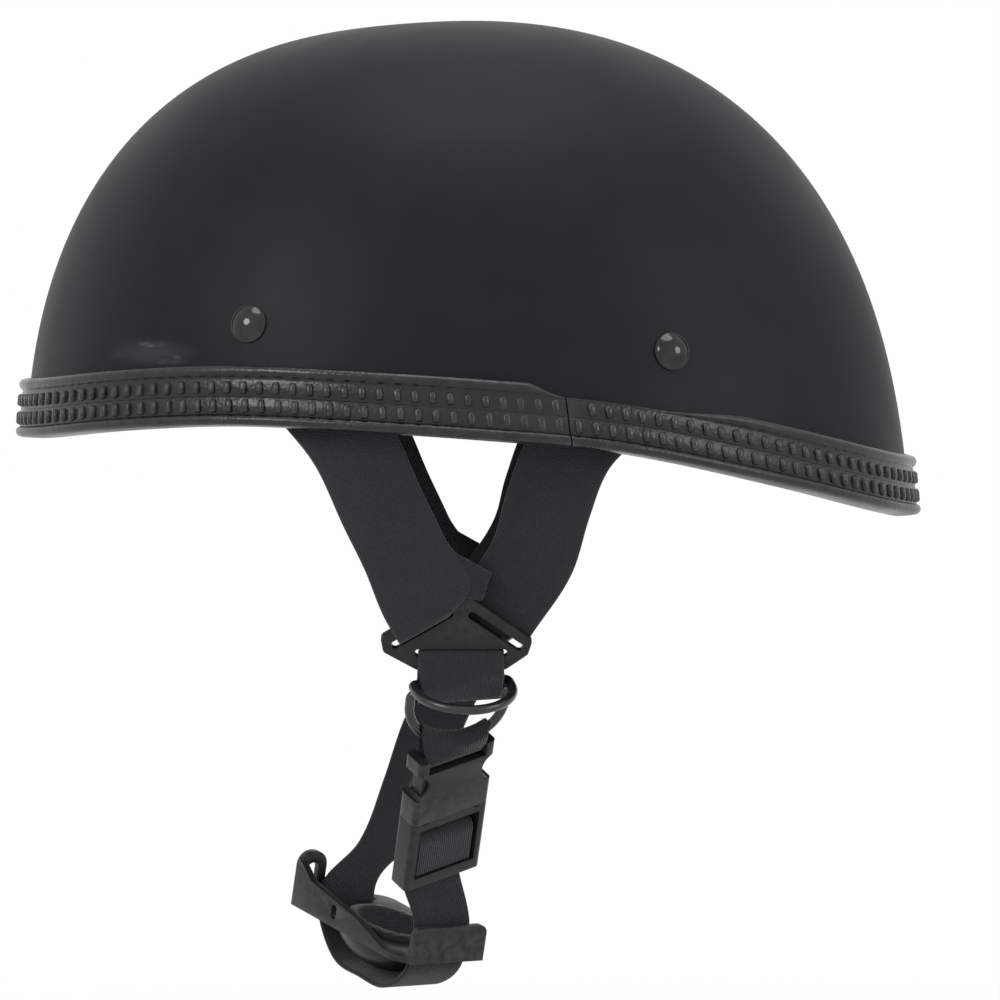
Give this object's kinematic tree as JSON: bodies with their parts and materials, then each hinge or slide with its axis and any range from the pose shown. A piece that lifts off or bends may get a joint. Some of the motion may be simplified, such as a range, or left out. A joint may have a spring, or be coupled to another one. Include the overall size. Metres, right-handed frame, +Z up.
{
  "type": "half shell motorcycle helmet",
  "caption": "Black half shell helmet with embossed edge trim, foam liner, riveted webbing straps, D rings, side release buckle and a chin cup.",
  "frame": {"origin": "centre of the head opening, level with the rim beside the ears", "axes": "+Z up to the crown, -X to the wearer's front, -Y to the wearer's left"},
  "size_m": [0.2693, 0.222, 0.2866],
  "materials": {
    "shell_paint": "satin black paint",
    "trim_vinyl": "embossed black vinyl",
    "liner_foam": "rigid black foam",
    "pad_cloth": "brushed black cloth over foam",
    "rivet_metal": "dark nickel plate",
    "webbing": "woven black webbing",
    "divider_plastic": "moulded black plastic",
    "ring_metal": "black enamelled wire",
    "buckle_plastic": "moulded black plastic, light sheen",
    "cup_plastic": "moulded black plastic",
    "cup_foam": "soft black foam"
  },
  "bodies": {
    "helmet": {"outer_shell": "shell_paint", "edge_trim": "trim_vinyl", "foam_liner": "liner_foam", "crown_pad": "pad_cloth", "front_pad": "pad_cloth", "rear_pad": "pad_cloth", "left_pad": "pad_cloth", "right_pad": "pad_cloth", "strap_rivets": "rivet_metal", "rivet_washers": "rivet_metal", "left_y_strap": "webbing", "right_y_strap": "webbing", "left_strap_divider": "divider_plastic", "right_strap_divider": "divider_plastic", "ring_loop": "webbing", "lower_d_ring": "ring_metal", "buckle_loop": "webbing", "buckle_socket": "buckle_plastic", "far_chin_strap": "webbing"},
    "upper_ring": {"upper_d_ring": "ring_metal"},
    "chin_assembly": {"buckle_plug": "buckle_plastic", "chin_strap": "webbing", "chin_cup": "cup_plastic", "chin_cup_pad": "cup_foam"},
    "front_prong_body": {"front_prong": "buckle_plastic"},
    "rear_prong_body": {"rear_prong": "buckle_plastic"}
  },
  "joints": [
    {"name": "upper_ring_swing", "type": "hinge", "parent": "helmet", "child": "upper_ring", "pos_m": [-0.00233, -0.07109, -0.06819], "axis": [0.9645, 0.26, 0.0472], "range_deg": [-38, 38]},
    {"name": "buckle_release", "type": "slide", "parent": "helmet", "child": "chin_assembly", "axis": [-0.1095, 0.5557, -0.8242], "range_m": [0, 0.028]},
    {"name": "front_prong_squeeze", "type": "hinge", "parent": "chin_assembly", "child": "front_prong_body", "pos_m": [-0.01464, -0.05108, -0.10754], "axis": [-0.5843, 0.6348, 0.5056], "range_deg": [0, 8], "stiffness_Nm_per_rad": 0.02},
    {"name": "rear_prong_squeeze", "type": "hinge", "parent": "chin_assembly", "child": "rear_prong_body", "pos_m": [0.00015, -0.0412, -0.10285], "axis": [0.5843, -0.6348, -0.5056], "range_deg": [0, 8], "stiffness_Nm_per_rad": 0.02}
  ]
}
